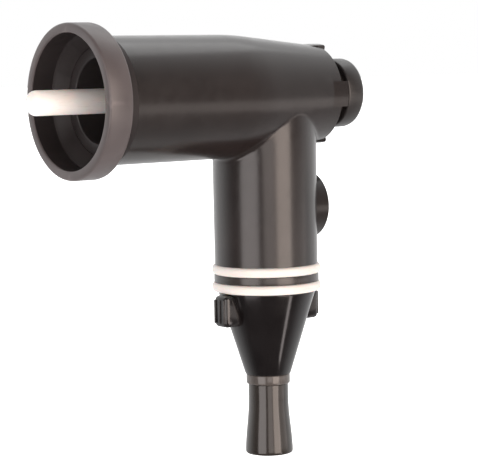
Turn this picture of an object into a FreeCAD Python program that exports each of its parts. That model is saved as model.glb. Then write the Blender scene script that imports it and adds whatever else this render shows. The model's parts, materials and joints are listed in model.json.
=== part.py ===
"""Otoscope head: a right-angle housing that plugs onto a battery handle.

Frame, in millimetres: the origin is the centre of the handle collar's front face. +X runs along the
barrel from the handle towards the eyepiece, +Z is up and the speculum points down, along -Z.
The leg that carries the speculum crosses the barrel's axis at x = leg_x.
"""

import FreeCAD, Part
import math
import os
import re

import Sketcher

Vector = FreeCAD.Vector
Rotation = FreeCAD.Rotation

document = FreeCAD.newDocument("otoscope")
sheet = document.addObject("Spreadsheet::Sheet", "Sizes")

# Driving dimensions. Stations along the barrel are x from the collar's front face, and their names
# start with x_. Stations along the leg are depths below the barrel's axis, and start with down_.
DIMENSIONS = {
    # handle collar and socket
    "collar_radius": 15.0,
    "collar_length": 5.2,
    "collar_neck_end": 8.0,
    "recess_radius": 13.1,
    "recess_depth": 4.7,
    "ledge_radius": 10.45,
    "ledge_depth": 7.0,
    "socket_radius": 8.2,
    "hub_end": 13.0,
    "fit_gap": 0.05,
    # housing
    "leg_x": 46.8,
    "barrel_radius": 12.45,
    "barrel_rear_radius": 12.35,
    "bore_radius": 11.2,
    "taper_start": 38.1,
    "taper_round": 60.0,
    "x_rim": 59.5,
    "rim_radius": 9.9,
    "eyepiece_bore_radius": 8.6,
    "x_eyepiece_bore": 52.8,
    "lug_length": 1.6,
    "lug_rise": 0.35,
    "lug_angle": 29.0,
    "lug_ramp": 3.0,
    "leg_radius": 10.65,
    "leg_end_radius": 10.5,
    "leg_bore_radius": 8.4,
    "down_leg_end": 34.2,
    "corner_fillet": 1.2,
    # socket sleeve, guide bush and its screws
    "x_socket_floor": 24.0,
    "x_floor_back": 26.0,
    "sleeve_skirt_radius": 9.6,
    "x_bulkhead": 34.8,
    "bush_flange_radius": 6.2,
    "bush_radius": 3.6,
    "x_bush_front": 22.4,
    "x_bush_end": 27.5,
    "screw_circle": 4.9,
    "screw_radius": 0.8,
    "screw_head_radius": 1.3,
    "screw_head_length": 0.9,
    "hex_radius": 0.65,
    "hex_depth": 0.5,
    # sprung light guide
    "guide_radius": 2.4,
    "guide_shaft_radius": 2.1,
    "x_guide_step": 12.0,
    "guide_reach": 8.5,
    "guide_tip_round": 1.7,
    "x_guide_end": 29.0,
    "clip_groove_radius": 1.75,
    "clip_thickness": 0.66,
    "guide_clip_radius": 4.3,
    "guide_travel": 3.0,
    "guide_spring_radius": 3.7,
    "guide_spring_wire": 0.25,
    "guide_spring_turns": 4.5,
    "guide_seal_wire": 0.45,
    "x_guide_seal": 25.5,
    # mirror and light pipe
    "bulkhead_thickness": 3.0,
    "pipe_boss_radius": 3.0,
    "x_pipe_boss": 32.3,
    "x_pipe_start": 32.5,
    "x_pipe_end": 41.2,
    "mirror_half": 5.0,
    "mirror_half_height": 2.5,
    "mirror_width": 7.0,
    "arm_width": 8.0,
    "arm_top": 6.2,
    # focusing eyepiece
    "x_focus_tube": 53.0,
    "focus_flange": 1.6,
    "focus_tube_radius": 5.4,
    "focus_bore_radius": 4.7,
    "x_focus_tube_end": 65.2,
    "washer_thickness": 0.5,
    "knob_radius": 6.85,
    "knob_neck_radius": 6.55,
    "x_knob_step": 59.3,
    "knob_flange_radius": 8.3,
    "x_knob": 55.2,
    "knob_flange": 1.3,
    "x_knob_end": 68.0,
    "knob_round": 1.0,
    "knob_bore_radius": 5.45,
    "eye_hole_radius": 4.2,
    "eye_mouth_radius": 5.4,
    "window_thickness": 1.0,
    "x_window": 65.6,
    "window_radius": 5.35,
    "x_bezel": 56.6,
    "bezel_length": 2.4,
    "bezel_hole_radius": 6.65,
    "knob_seal_wire": 0.35,
    "x_cell": 56.5,
    "cell_length": 6.0,
    "cell_radius": 4.65,
    "cell_bore_radius": 4.0,
    "cell_lip_radius": 3.4,
    "lens_thickness": 2.0,
    "lens_seat": 2.6,
    "x_cam_pin": 59.3,
    "cam_pin_radius": 0.4,
    "cam_pin_tip": 6.1,
    "cam_groove_radius": 0.66,
    "cam_groove_centre": 5.9,
    "focus_lead": 9.0,
    "focus_travel": 1.5,
    # air button
    "down_button": 22.8,
    "boss_radius": 6.85,
    "boss_reach": 11.2,
    "inner_boss_radius": 6.6,
    "inner_boss_reach": 6.4,
    "button_bore_radius": 5.5,
    "button_floor": 7.4,
    "button_through_radius": 4.6,
    "button_radius": 5.43,
    "button_reach": 11.9,
    "button_skirt": 1.9,
    "button_recess": 0.9,
    "button_skirt_bore": 4.2,
    "button_travel": 1.5,
    "stem_radius": 1.2,
    "stem_end": 5.9,
    "seat_thickness": 1.0,
    "vent_radius": 0.5,
    "vent_circle": 3.0,
    "button_seal_wire": 0.34,
    "button_clip_radius": 2.2,
    "button_clip_thickness": 0.44,
    "button_spring_radius": 2.9,
    "button_spring_wire": 0.18,
    "button_spring_turns": 2.0,
    # leg end: spigot, seals and spacer
    "down_spigot_top": 30.0,
    "spigot_seat_radius": 9.1,
    "spigot_bore_radius": 5.8,
    "down_spigot_end": 44.8,
    "seal_radius": 11.08,
    "seal_height": 1.93,
    "spacer_radius": 10.7,
    "spacer_height": 1.6,
    # speculum
    "down_speculum": 39.85,
    "speculum_top_radius": 9.95,
    "speculum_wall": 1.2,
    "cone_end_radius": 4.65,
    "down_cone_end": 56.9,
    "cone_bore_radius": 3.0,
    "down_cone_bore": 56.6,
    "speculum_clearance": 0.15,
    "neck_radius": 3.7,
    "down_neck_end": 66.0,
    "grip_radius": 10.65,
    "grip_width": 4.2,
    "down_grip_top": 40.0,
    "down_grip_end": 46.4,
    "grip_top_chamfer": 1.2,
    "grip_end_chamfer": 0.6,
    "grip_rib": 0.25,
    "grip_rib_width": 0.55,
    "tip_collar_radius": 4.5,
    "down_collar_end": 58.9,
    "tip_radius": 4.1,
    "down_flare": 64.5,
    "tip_end_radius": 4.9,
    "tip_mouth_radius": 3.6,
    "down_tip_end": 73.4,
}

for row, (alias, size) in enumerate(DIMENSIONS.items(), start=1):
    sheet.set(f"A{row}", alias)
    sheet.set(f"B{row}", str(size))
    sheet.setAlias(f"B{row}", alias)
document.recompute()

SHAPE_TOLERANCE = 1e-3
parts = []


def bound(text):
    """The same expression with each driving dimension's name pointed at the sheet."""
    return re.sub(r"[a-z][a-z_]+", lambda m: "Sizes." + m[0] if m[0] in DIMENSIONS else m[0], str(text))


def size_of(text):
    """The value in millimetres of an expression of driving dimensions."""
    return float(sheet.evalExpression(bound(text)))


def place(item, x="0", y="0", z="0", rotation=None):
    """Bind an object's place to expressions of driving dimensions."""
    if rotation:
        item.Placement = FreeCAD.Placement(Vector(), rotation)
    for letter, text in zip("xyz", (x, y, z)):
        item.setExpression(f".Placement.Base.{letter}", bound(text))


def keep(item, label):
    """Name a finished sub-part, which also names its file."""
    item.Label = label
    parts.append(item)
    return item


def new_body(label):
    """An empty body that will be one sub-part."""
    return keep(document.addObject("PartDesign::Body", label + "_body"), label)


def new_sketch(body, plane, name, lift=None):
    """A sketch on one of the body's own origin planes, lifted along its normal if asked."""
    sketch = body.newObject("Sketcher::SketchObject", name)
    origin_plane = next(f for f in body.Origin.OriginFeatures if f.Role == plane)
    sketch.AttachmentSupport = [(origin_plane, "")]
    sketch.MapMode = "FlatFace"
    if lift is not None:
        sketch.setExpression(".AttachmentOffset.Base.z", bound(lift))
    return sketch


def bind_constraint(sketch, kind, geometry, point, text):
    """Hold one coordinate of a sketch point at an expression of driving dimensions."""
    distance = size_of(text)
    pair = (-1, 1, geometry, point) if distance >= 0 else (geometry, point, -1, 1)
    index = sketch.addConstraint(Sketcher.Constraint(kind, *pair, abs(distance)))
    sketch.renameConstraint(index, f"{kind}_{index}")
    sign = "" if distance >= 0 else "-1 * "
    sketch.setExpression(f"Constraints.{kind}_{index}", f"{sign}({bound(text)})")


def draw_outline(sketch, points):
    """A closed outline of straight lines through points, each a pair of expressions."""
    corners = [Vector(size_of(across), size_of(up), 0) for across, up in points]
    for start, end in zip(corners, corners[1:] + corners[:1]):
        sketch.addGeometry(Part.LineSegment(start, end), False)
    for index, (across, up) in enumerate(points):
        sketch.addConstraint(Sketcher.Constraint("Coincident", index - 1 if index else len(points) - 1, 2, index, 1))
        bind_constraint(sketch, "DistanceX", index, 1, across)
        bind_constraint(sketch, "DistanceY", index, 1, up)


def draw_circle(sketch, across, up, radius):
    """A circle whose centre and radius are expressions."""
    centre = Vector(size_of(across), size_of(up), 0)
    index = sketch.addGeometry(Part.Circle(centre, Vector(0, 0, 1), size_of(radius)), False)
    bind_constraint(sketch, "DistanceX", index, 3, across)
    bind_constraint(sketch, "DistanceY", index, 3, up)
    held = sketch.addConstraint(Sketcher.Constraint("Radius", index, size_of(radius)))
    sketch.renameConstraint(held, f"Radius_{held}")
    sketch.setExpression(f"Constraints.Radius_{held}", bound(radius))


def spin(body, kind, axis, points, name, angle=360, midplane=False):
    """Turn an outline about the barrel's axis (X) or the leg's (Z), adding or cutting.

    Points are (along, radius) about X, and (radius, along) about Z.
    """
    sketch = new_sketch(body, "XZ_Plane", name + "_outline")
    draw_outline(sketch, points)
    feature = body.newObject("PartDesign::" + kind, name)
    feature.Profile = sketch
    feature.ReferenceAxis = (sketch, ["H_Axis" if axis == "X" else "V_Axis"])
    feature.Angle = angle
    feature.Midplane = midplane
    document.recompute()
    return feature


def turned(label, axis, points, x="0", y="0", z="0"):
    """A sub-part turned in one go about X or Z."""
    body = new_body(label)
    spin(body, "Revolution", axis, points, label + "_turned")
    place(body, x, y, z)
    return body


def ring_edges(shape, wanted):
    """Names of the round edges at the wanted (along, radius) pairs, measured about local X or Z."""
    names = []
    for index, edge in enumerate(shape.Edges, start=1):
        curve = edge.Curve
        if not isinstance(curve, Part.Circle):
            continue
        for axis, along, radius in wanted:
            level = getattr(curve.Center, axis)
            if abs(level - along) < SHAPE_TOLERANCE and abs(curve.Radius - radius) < SHAPE_TOLERANCE:
                names.append(f"Edge{index}")
    return names


def round_rings(body, base, kind, amount, wanted, name):
    """Fillet or chamfer the round edges at the wanted places by an amount from the sheet."""
    document.recompute()
    edges = ring_edges(base.Shape, [(axis, size_of(along), size_of(radius)) for axis, along, radius in wanted])
    if len(edges) < len(wanted):
        raise RuntimeError(f"{name}: found {len(edges)} of {len(wanted)} edges")
    feature = body.newObject("PartDesign::" + kind, name)
    feature.Base = (base, edges)
    feature.setExpression("Radius" if kind == "Fillet" else "Size", bound(amount))
    document.recompute()
    return feature


def extruded(body, kind, plane, lift, length, draw, name, midplane=False, reverse=False):
    """Pad or pocket a sketch that draw fills, from a plane lifted along its own normal."""
    sketch = new_sketch(body, plane, name + "_sketch", lift)
    draw(sketch)
    feature = body.newObject("PartDesign::" + kind, name)
    feature.Profile = sketch
    feature.setExpression("Length", bound(length))
    feature.Midplane = midplane
    feature.Reversed = reverse
    document.recompute()
    return feature


def patterned(body, feature, axis, count, name):
    """Repeat a feature evenly round one of its body's own axes."""
    pattern = body.newObject("PartDesign::PolarPattern", name)
    pattern.Originals = [feature]
    origin_axis = next(f for f in body.Origin.OriginFeatures if f.Role == axis)
    pattern.Axis = (origin_axis, [""])
    pattern.Angle = 360
    pattern.Occurrences = count
    body.Tip = pattern
    document.recompute()
    return pattern


def cylinder(name, radius, length, x="0", y="0", z="0", along="X"):
    """A plain cylinder along X or Z that starts at the given place."""
    item = document.addObject("Part::Cylinder", name)
    item.setExpression("Radius", bound(radius))
    item.setExpression("Height", bound(length))
    place(item, x, y, z, Rotation(Vector(0, 1, 0), 90) if along == "X" else None)
    return item


def box(name, corner, length, width, height):
    """A box from its lowest corner."""
    item = document.addObject("Part::Box", name)
    for side, text in (("Length", length), ("Width", width), ("Height", height)):
        item.setExpression(side, bound(text))
    place(item, *corner)
    return item


def cut(name, base, tool):
    """Base less tool."""
    item = document.addObject("Part::Cut", name)
    item.Base = base
    item.Tool = tool
    return item


def fuse(name, items):
    """Several solids made one."""
    item = document.addObject("Part::MultiFuse", name)
    item.Shapes = items
    return item


def seal_ring(label, ring_radius, wire, x="0", y="0", z="0"):
    """A round-section seal about the X axis."""
    item = keep(document.addObject("Part::Torus", label + "_ring"), label)
    item.setExpression("Radius1", bound(ring_radius))
    item.setExpression("Radius2", bound(wire))
    place(item, x, y, z, Rotation(Vector(0, 1, 0), 90))
    return item


def coil_spring(label, ring_radius, wire, turns, start, end, z="0"):
    """A compression spring of round wire about X, from one seat to the other."""
    free_length = f"({end}) - ({start}) - 2 * {wire}"
    helix = document.addObject("Part::Helix", label + "_helix")
    helix.setExpression("Radius", bound(ring_radius))
    helix.setExpression("Height", bound(free_length))
    helix.setExpression("Pitch", bound(f"({free_length}) / {turns}"))
    section = document.addObject("Part::Circle", label + "_wire")
    section.setExpression("Radius", bound(wire))
    place(section, ring_radius, rotation=Rotation(Vector(1, 0, 0), 90))
    sweep = keep(document.addObject("Part::Sweep", label + "_sweep"), label)
    sweep.Sections = [section]
    sweep.Spine = (helix, [])
    sweep.Solid = True
    sweep.Frenet = True
    place(sweep, f"({start}) + {wire}", "0", z, Rotation(Vector(0, 1, 0), 90))
    return sweep


def snap_clip(label, inner, outer, thickness, x, z="0"):
    """A flat clip that snaps sideways into a shaft's groove: a ring with an open mouth."""
    ring = cylinder(label + "_disc", outer, thickness, x, "0", z)
    hole = cylinder(label + "_hole", inner, thickness, x, "0", z)
    mouth = box(
        label + "_mouth",
        (x, f"-0.8 * {inner}", f"({z}) - 1.1 * {outer}"),
        thickness,
        f"1.6 * {inner}",
        f"1.1 * {outer}",
    )
    return keep(cut(label + "_clip", ring, fuse(label + "_void", [hole, mouth])), label)


# --- handle end: collar, socket sleeve, bush and its screws ----------------------------------------

collar = new_body("handle_collar")
collar_turned = spin(
    collar,
    "Revolution",
    "X",
    [
        ("0", "recess_radius + 0.35"),
        ("0", "collar_radius"),
        ("collar_length", "collar_radius"),
        ("collar_length", "barrel_radius"),
        ("collar_neck_end", "barrel_radius"),
        ("collar_neck_end", "bore_radius - fit_gap"),
        ("hub_end", "bore_radius - fit_gap"),
        ("hub_end", "ledge_radius"),
        ("ledge_depth", "ledge_radius"),
        ("recess_depth + 0.2", "recess_radius - 0.5"),
        ("recess_depth", "recess_radius"),
        ("0.35", "recess_radius"),
    ],
    "collar_turned",
)
round_rings(
    collar,
    collar_turned,
    "Fillet",
    "0.5",
    [("x", "0", "collar_radius"), ("x", "collar_length", "collar_radius")],
    "collar_rounds",
)

sleeve = new_body("socket_sleeve")
spin(
    sleeve,
    "Revolution",
    "X",
    [
        ("ledge_depth", "socket_radius + 0.3"),
        ("ledge_depth", "ledge_radius - fit_gap"),
        ("hub_end + fit_gap", "ledge_radius - fit_gap"),
        ("hub_end + fit_gap", "bore_radius - fit_gap"),
        ("x_bulkhead - fit_gap", "bore_radius - fit_gap"),
        ("x_bulkhead - fit_gap", "sleeve_skirt_radius"),
        ("x_floor_back", "sleeve_skirt_radius"),
        ("x_floor_back", "bush_radius + fit_gap"),
        ("x_socket_floor", "bush_radius + fit_gap"),
        ("x_socket_floor", "socket_radius"),
        ("ledge_depth + 0.3", "socket_radius"),
    ],
    "sleeve_turned",
)
sleeve_hole = extruded(
    sleeve,
    "Pocket",
    "YZ_Plane",
    "x_floor_back + 0.5",
    "x_floor_back - x_socket_floor + 1",
    lambda sketch: draw_circle(sketch, "0", "screw_circle", "screw_radius + fit_gap"),
    "sleeve_screw_hole",
)
patterned(sleeve, sleeve_hole, "X_Axis", 3, "sleeve_screw_holes")

bush = new_body("guide_bush")
spin(
    bush,
    "Revolution",
    "X",
    [
        ("x_bush_front", "guide_shaft_radius + fit_gap"),
        ("x_bush_front", "bush_flange_radius"),
        ("x_socket_floor - fit_gap", "bush_flange_radius"),
        ("x_socket_floor - fit_gap", "bush_radius"),
        ("x_bush_end", "bush_radius"),
        ("x_bush_end", "guide_shaft_radius + fit_gap"),
        ("x_guide_seal + guide_seal_wire + 0.05", "guide_shaft_radius + fit_gap"),
        ("x_guide_seal + guide_seal_wire + 0.05", "guide_shaft_radius + 2 * guide_seal_wire + 0.1"),
        ("x_guide_seal - guide_seal_wire - 0.05", "guide_shaft_radius + 2 * guide_seal_wire + 0.1"),
        ("x_guide_seal - guide_seal_wire - 0.05", "guide_shaft_radius + fit_gap"),
    ],
    "bush_turned",
)
bush_hole = extruded(
    bush,
    "Pocket",
    "YZ_Plane",
    "x_socket_floor + 0.5",
    "x_socket_floor - x_bush_front + 1",
    lambda sketch: draw_circle(sketch, "0", "screw_circle", "screw_radius + fit_gap"),
    "bush_screw_hole",
)
patterned(bush, bush_hole, "X_Axis", 3, "bush_screw_holes")

seal_ring("guide_seal", "guide_shaft_radius + guide_seal_wire + 0.07", "guide_seal_wire", "x_guide_seal")


def bush_screw(number, angle):
    """One hexagon-socket screw that holds the bush's flange to the socket's floor."""
    y = f"screw_circle * {math.sin(math.radians(angle)):.6f}"
    z = f"screw_circle * {math.cos(math.radians(angle)):.6f}"
    head_front = "x_bush_front - screw_head_length"
    head = cylinder(f"screw_head_{number}", "screw_head_radius", "screw_head_length", head_front, y, z)
    shank = cylinder(f"screw_shank_{number}", "screw_radius", "x_floor_back - x_bush_front", "x_bush_front", y, z)
    key = document.addObject("Part::Prism", f"screw_key_{number}")
    key.Polygon = 6
    key.setExpression("Circumradius", bound("hex_radius"))
    key.setExpression("Height", bound("hex_depth"))
    place(key, head_front, y, z, Rotation(Vector(0, 1, 0), 90))
    return cut(f"screw_{number}", fuse(f"screw_solid_{number}", [head, shank]), key)


SCREW_COUNT = 3
screws = document.addObject("Part::Compound", "bush_screw_group")
screws.Links = [bush_screw(number + 1, 360 / SCREW_COUNT * number) for number in range(SCREW_COUNT)]
keep(screws, "bush_screws")

# --- sprung light guide ----------------------------------------------------------------------------

guide = new_body("light_guide")
guide_turned = spin(
    guide,
    "Revolution",
    "X",
    [
        ("-guide_reach", "0"),
        ("-guide_reach", "guide_radius"),
        ("x_guide_step", "guide_radius"),
        ("x_guide_step + 0.3", "guide_shaft_radius"),
        ("x_bush_end + 0.1", "guide_shaft_radius"),
        ("x_bush_end + 0.1", "clip_groove_radius"),
        ("x_bush_end + 0.12 + clip_thickness", "clip_groove_radius"),
        ("x_bush_end + 0.12 + clip_thickness", "guide_shaft_radius"),
        ("x_guide_end", "guide_shaft_radius"),
        ("x_guide_end", "0"),
    ],
    "guide_turned",
)
round_rings(guide, guide_turned, "Fillet", "guide_tip_round", [("x", "-guide_reach", "guide_radius")], "guide_tip")
snap_clip("guide_clip", "clip_groove_radius + 0.01", "guide_clip_radius", "clip_thickness", "x_bush_end + 0.11")
coil_spring(
    "guide_spring",
    "guide_spring_radius",
    "guide_spring_wire",
    "guide_spring_turns",
    "x_bush_end + 0.15 + clip_thickness",
    "x_bulkhead - 0.03",
)

# --- mirror, its mount and the fixed light pipe ----------------------------------------------------

bulkhead = cylinder("bulkhead_disc", "bore_radius - fit_gap", "bulkhead_thickness", "x_bulkhead")
pipe_boss = cylinder("pipe_boss", "pipe_boss_radius", "x_pipe_end - x_pipe_boss - 0.4", "x_pipe_boss")
arm = box(
    "mirror_arm",
    ("x_bulkhead + 1", "-arm_width / 2", "mirror_half_height + fit_gap"),
    "leg_x + mirror_half + 0.2 - x_bulkhead - 1",
    "arm_width",
    "arm_top - mirror_half_height - fit_gap",
)
pipe_hole = cylinder("pipe_hole", "guide_radius + fit_gap", "x_pipe_end - x_pipe_boss", "x_pipe_boss")
light_exit = cylinder("bulkhead_vent", "1.5", "bulkhead_thickness", "x_bulkhead", "0", "-7")
keep(
    cut(
        "mirror_mount_cut",
        fuse("mirror_mount_solid", [bulkhead, pipe_boss, arm]),
        fuse("mirror_mount_voids", [pipe_hole, light_exit]),
    ),
    "mirror_mount",
)

mirror = new_body("roof_mirror")
extruded(
    mirror,
    "Pad",
    "XZ_Plane",
    "0",
    "mirror_width",
    lambda sketch: draw_outline(
        sketch,
        [
            ("-mirror_half", "mirror_half_height"),
            ("0", "-mirror_half_height"),
            ("mirror_half", "mirror_half_height"),
        ],
    ),
    "mirror_block",
    midplane=True,
)
place(mirror, "leg_x")

keep(cylinder("light_pipe_rod", "guide_radius", "x_pipe_end - x_pipe_start", "x_pipe_start"), "light_pipe")

# --- housing ---------------------------------------------------------------------------------------
# Drawn about the crossing of the barrel's axis and the leg's axis.

housing = new_body("housing")
place(housing, "leg_x")
barrel = spin(
    housing,
    "Revolution",
    "X",
    [
        ("collar_neck_end + 0.02 - leg_x", "0"),
        ("collar_neck_end + 0.02 - leg_x", "barrel_radius"),
        ("taper_start - leg_x", "barrel_rear_radius"),
        ("x_rim - leg_x", "rim_radius"),
        ("x_rim - leg_x", "0"),
    ],
    "barrel",
)
taper_bend = [("x", "taper_start - leg_x", "barrel_rear_radius")]
round_rings(housing, barrel, "Fillet", "taper_round", taper_bend, "taper_bend")
leg = spin(
    housing,
    "Revolution",
    "Z",
    [
        ("0", "0"),
        ("leg_radius", "0"),
        ("leg_end_radius", "-down_leg_end"),
        ("0", "-down_leg_end"),
    ],
    "leg",
)


def junction_edges(shape):
    """Names of the edges along which the leg runs into the barrel: curved, and all below its axis."""
    names = []
    for index, edge in enumerate(shape.Edges, start=1):
        if isinstance(edge.Curve, (Part.Circle, Part.Line)) or edge.BoundBox.ZMax > 0:
            continue
        names.append(f"Edge{index}")
    return names


fillet = housing.newObject("PartDesign::Fillet", "inner_corner")
fillet.Base = (leg, junction_edges(leg.Shape))
fillet.setExpression("Radius", bound("corner_fillet"))
document.recompute()

extruded(
    housing,
    "Pad",
    "YZ_Plane",
    "0",
    "boss_reach",
    lambda sketch: draw_circle(sketch, "0", "-down_button", "boss_radius"),
    "button_boss",
)
lug = spin(
    housing,
    "Revolution",
    "X",
    [
        ("x_rim - leg_x - lug_ramp", "rim_radius - 0.5"),
        ("x_rim - leg_x - lug_ramp", "rim_radius + 0.25"),
        ("x_rim - leg_x - 0.8", "rim_radius + lug_rise"),
        ("x_rim - leg_x + lug_length - 0.3", "rim_radius + lug_rise"),
        ("x_rim - leg_x + lug_length", "rim_radius"),
        ("x_rim - leg_x + lug_length", "eyepiece_bore_radius - 0.1"),
        ("x_rim - leg_x - lug_ramp", "eyepiece_bore_radius - 0.1"),
    ],
    "snap_lug",
    angle=29,
    midplane=True,
)
lug.setExpression("Angle", bound("lug_angle"))
patterned(housing, lug, "X_Axis", 4, "snap_lugs")
spin(
    housing,
    "Groove",
    "X",
    [
        ("-leg_x", "0"),
        ("-leg_x", "bore_radius"),
        ("x_bulkhead + bulkhead_thickness - leg_x", "bore_radius"),
        ("x_bulkhead + bulkhead_thickness - leg_x", "bore_radius - 0.5"),
        ("x_eyepiece_bore - leg_x", "eyepiece_bore_radius - 0.3"),
        ("x_eyepiece_bore - leg_x", "eyepiece_bore_radius"),
        ("x_rim - leg_x + 5", "eyepiece_bore_radius"),
        ("x_rim - leg_x + 5", "0"),
    ],
    "barrel_bore",
)
spin(
    housing,
    "Groove",
    "Z",
    [
        ("0", "0"),
        ("leg_bore_radius", "0"),
        ("leg_bore_radius", "-down_leg_end - 1"),
        ("0", "-down_leg_end - 1"),
    ],
    "leg_bore",
)
extruded(
    housing,
    "Pad",
    "YZ_Plane",
    "inner_boss_reach",
    "button_floor + 0.5 - inner_boss_reach",
    lambda sketch: draw_circle(sketch, "0", "-down_button", "inner_boss_radius"),
    "button_floor_ring",
)
extruded(
    housing,
    "Pocket",
    "YZ_Plane",
    "button_floor",
    "boss_reach - button_floor + 1",
    lambda sketch: draw_circle(sketch, "0", "-down_button", "button_bore_radius"),
    "button_bore",
    reverse=True,
)
extruded(
    housing,
    "Pocket",
    "YZ_Plane",
    "inner_boss_reach - 1",
    "button_floor - inner_boss_reach + 2",
    lambda sketch: draw_circle(sketch, "0", "-down_button", "button_through_radius"),
    "button_through_hole",
    reverse=True,
)

# --- focusing eyepiece -----------------------------------------------------------------------------

focus_tube = new_body("focus_tube")
spin(
    focus_tube,
    "Revolution",
    "X",
    [
        ("0", "focus_bore_radius"),
        ("0", "eyepiece_bore_radius - fit_gap"),
        ("focus_flange", "eyepiece_bore_radius - fit_gap"),
        ("focus_flange", "focus_tube_radius"),
        ("x_focus_tube_end - x_focus_tube", "focus_tube_radius"),
        ("x_focus_tube_end - x_focus_tube", "focus_bore_radius"),
    ],
    "focus_tube_turned",
)
SLOT_HALF = "cam_pin_radius + fit_gap"
SLOT_END = "(focus_travel + cam_pin_radius + 0.2)"
extruded(
    focus_tube,
    "Pocket",
    "XY_Plane",
    "focus_tube_radius + 1",
    "focus_tube_radius",
    lambda sketch: draw_outline(
        sketch,
        [
            (f"x_cam_pin - x_focus_tube - {SLOT_END}", f"-({SLOT_HALF})"),
            (f"x_cam_pin - x_focus_tube + {SLOT_END}", f"-({SLOT_HALF})"),
            (f"x_cam_pin - x_focus_tube + {SLOT_END}", SLOT_HALF),
            (f"x_cam_pin - x_focus_tube - {SLOT_END}", SLOT_HALF),
        ],
    ),
    "pin_slot",
)
place(focus_tube, "x_focus_tube")

turned(
    "focus_washer",
    "X",
    [
        ("0", "focus_tube_radius + fit_gap"),
        ("0", "knob_flange_radius"),
        ("washer_thickness", "knob_flange_radius"),
        ("washer_thickness", "focus_tube_radius + fit_gap"),
    ],
    x="x_focus_tube + focus_flange + 0.02",
)

turned(
    "eyepiece_bezel",
    "X",
    [
        ("0", "bezel_hole_radius"),
        ("0", "eyepiece_bore_radius - fit_gap"),
        ("bezel_length", "eyepiece_bore_radius - fit_gap"),
        ("bezel_length", "bezel_hole_radius + 0.25"),
        ("bezel_length - 0.25", "bezel_hole_radius"),
        ("bezel_length / 2 + knob_seal_wire + 0.05", "bezel_hole_radius"),
        ("bezel_length / 2 + knob_seal_wire + 0.05", "knob_neck_radius + 2 * knob_seal_wire + 0.1"),
        ("bezel_length / 2 - knob_seal_wire - 0.05", "knob_neck_radius + 2 * knob_seal_wire + 0.1"),
        ("bezel_length / 2 - knob_seal_wire - 0.05", "bezel_hole_radius"),
    ],
    x="x_bezel",
)
seal_ring("knob_seal", "knob_neck_radius + knob_seal_wire + 0.06", "knob_seal_wire", "x_bezel + bezel_length / 2")

knob = new_body("focus_knob_blank")
parts.remove(knob)
knob_turned = spin(
    knob,
    "Revolution",
    "X",
    [
        ("0", "knob_bore_radius"),
        ("0", "knob_flange_radius"),
        ("knob_flange", "knob_flange_radius"),
        ("knob_flange", "knob_neck_radius"),
        ("x_knob_step - x_knob", "knob_neck_radius"),
        ("x_knob_step - x_knob", "knob_radius"),
        ("x_knob_end - x_knob", "knob_radius"),
        ("x_knob_end - x_knob", "eye_mouth_radius"),
        ("x_window + window_thickness + 0.4 - x_knob", "eye_hole_radius"),
        ("x_window + window_thickness - x_knob", "eye_hole_radius"),
        ("x_window + window_thickness - x_knob", "knob_bore_radius"),
    ],
    "knob_turned",
)
round_rings(
    knob, knob_turned, "Fillet", "knob_round", [("x", "x_knob_end - x_knob", "knob_radius")], "knob_end_round"
)
place(knob, "x_knob")

# The cam groove is one end of a helix: the knob turns 60 degrees each way from rest, and the pin
# follows it by focus_travel. It needs a little more groove than that at each end.
GROOVE_SPARE = 5.0
groove_angle = f"(2 * focus_travel / focus_lead * 360 + {2 * GROOVE_SPARE})"
groove_path = document.addObject("Part::Helix", "cam_groove_helix")
groove_path.LocalCoord = "Left-handed"
groove_path.setExpression("Radius", bound("cam_groove_centre"))
groove_path.setExpression("Pitch", bound("focus_lead"))
groove_path.setExpression("Height", bound(f"focus_lead * {groove_angle} / 360"))
groove_section = document.addObject("Part::Circle", "cam_groove_section")
groove_section.setExpression("Radius", bound("cam_groove_radius"))
place(groove_section, "cam_groove_centre", rotation=Rotation(Vector(1, 0, 0), 90))
groove = document.addObject("Part::Sweep", "cam_groove")
groove.Sections = [groove_section]
groove.Spine = (groove_path, [])
groove.Solid = True
groove.Frenet = True
half_angle = size_of(groove_angle) / 2
groove_turn = Rotation(Vector(1, 0, 0), 180 + half_angle).multiply(Rotation(Vector(0, 1, 0), 90))
place(groove, f"x_cam_pin - focus_lead * {groove_angle} / 720", rotation=groove_turn)
keep(cut("focus_knob_cut", knob, groove), "focus_knob")

turned(
    "eyepiece_window",
    "X",
    [("0", "0"), ("0", "window_radius"), ("window_thickness - 0.02", "window_radius"), ("window_thickness - 0.02", "0")],
    x="x_window",
)

turned(
    "lens_cell",
    "X",
    [
        ("0", "cell_lip_radius"),
        ("0", "cell_radius"),
        ("cell_length", "cell_radius"),
        ("cell_length", "cell_bore_radius"),
        ("lens_seat", "cell_bore_radius"),
        ("lens_seat", "cell_lip_radius"),
    ],
    x="x_cell",
)
turned(
    "lens_ring",
    "X",
    [
        ("0", "cell_lip_radius"),
        ("0", "cell_bore_radius - 0.02"),
        ("0.9", "cell_bore_radius - 0.02"),
        ("0.9", "cell_lip_radius"),
    ],
    x="x_cell + lens_seat + lens_thickness + fit_gap",
)

# The lens is flat on the handle side and has a crowned face on the eye's side.
lens_disc = cylinder("lens_disc", "cell_bore_radius - 0.03", "lens_thickness", "x_cell + lens_seat + 0.02")
lens_crown = document.addObject("Part::Sphere", "lens_crown")
LENS_CROWN_RADIUS = "3.2 * cell_bore_radius"
lens_crown.setExpression("Radius", bound(LENS_CROWN_RADIUS))
place(lens_crown, f"x_cell + lens_seat + lens_thickness - {LENS_CROWN_RADIUS}")
lens = document.addObject("Part::Common", "lens_common")
lens.Base = lens_disc
lens.Tool = lens_crown
keep(lens, "eyepiece_lens")

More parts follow.
